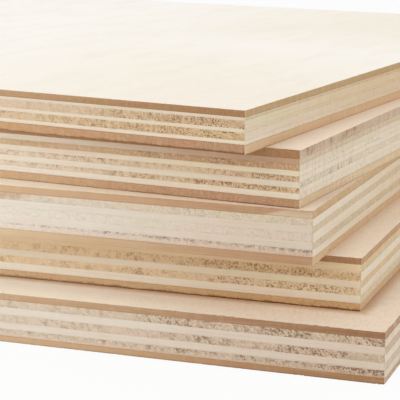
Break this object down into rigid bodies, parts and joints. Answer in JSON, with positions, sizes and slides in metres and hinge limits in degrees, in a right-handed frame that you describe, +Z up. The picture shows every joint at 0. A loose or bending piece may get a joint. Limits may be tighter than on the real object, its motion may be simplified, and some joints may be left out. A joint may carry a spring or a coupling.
{
  "type": "stack of plywood sheets",
  "caption": "Loose stack of plywood sheets lying flat and fanned about one corner, with each sheet's glued veneers showing as bands on its cut edges.",
  "frame": {"origin": "middle of the bottom sheet's underside", "axes": "+X along the bottom sheet's length, +Y across its width, +Z up through the stack"},
  "size_m": [0.6386, 0.3871, 0.0867],
  "materials": {
    "face_veneer": "outer veneer: pale pinkish cream on the flat, warm brown on the cut edge, sanded, matt",
    "crossband_veneer": "inner veneer, pale cream where cut along the grain and open-pored where cut across, sawn",
    "core_veneer": "inner veneer, pale cream where cut along the grain and open-pored where cut across, sawn"
  },
  "bodies": {
    "root": {"sheet_1_ply_1_face": "face_veneer", "sheet_1_ply_2_crossband": "crossband_veneer", "sheet_1_ply_3_core": "core_veneer", "sheet_1_ply_4_crossband": "crossband_veneer", "sheet_1_ply_5_core": "core_veneer", "sheet_1_ply_6_crossband": "crossband_veneer", "sheet_1_ply_7_back": "face_veneer", "sheet_2_ply_1_face": "face_veneer", "sheet_2_ply_2_crossband": "crossband_veneer", "sheet_2_ply_3_core": "core_veneer", "sheet_2_ply_4_crossband": "crossband_veneer", "sheet_2_ply_5_core": "core_veneer", "sheet_2_ply_6_crossband": "crossband_veneer", "sheet_2_ply_7_back": "face_veneer", "sheet_3_ply_1_face": "face_veneer", "sheet_3_ply_2_crossband": "crossband_veneer", "sheet_3_ply_3_core": "core_veneer", "sheet_3_ply_4_crossband": "crossband_veneer", "sheet_3_ply_5_core": "core_veneer", "sheet_3_ply_6_crossband": "crossband_veneer", "sheet_3_ply_7_back": "face_veneer", "sheet_4_ply_1_face": "face_veneer", "sheet_4_ply_2_crossband": "crossband_veneer", "sheet_4_ply_3_core": "core_veneer", "sheet_4_ply_4_crossband": "crossband_veneer", "sheet_4_ply_5_core": "core_veneer", "sheet_4_ply_6_crossband": "crossband_veneer", "sheet_4_ply_7_core": "core_veneer", "sheet_4_ply_8_crossband": "crossband_veneer", "sheet_4_ply_9_back": "face_veneer", "sheet_5_ply_1_face": "face_veneer", "sheet_5_ply_2_crossband": "crossband_veneer", "sheet_5_ply_3_core": "core_veneer", "sheet_5_ply_4_crossband": "crossband_veneer", "sheet_5_ply_5_core": "core_veneer", "sheet_5_ply_6_crossband": "crossband_veneer", "sheet_5_ply_7_back": "face_veneer"}
  },
  "joints": []
}
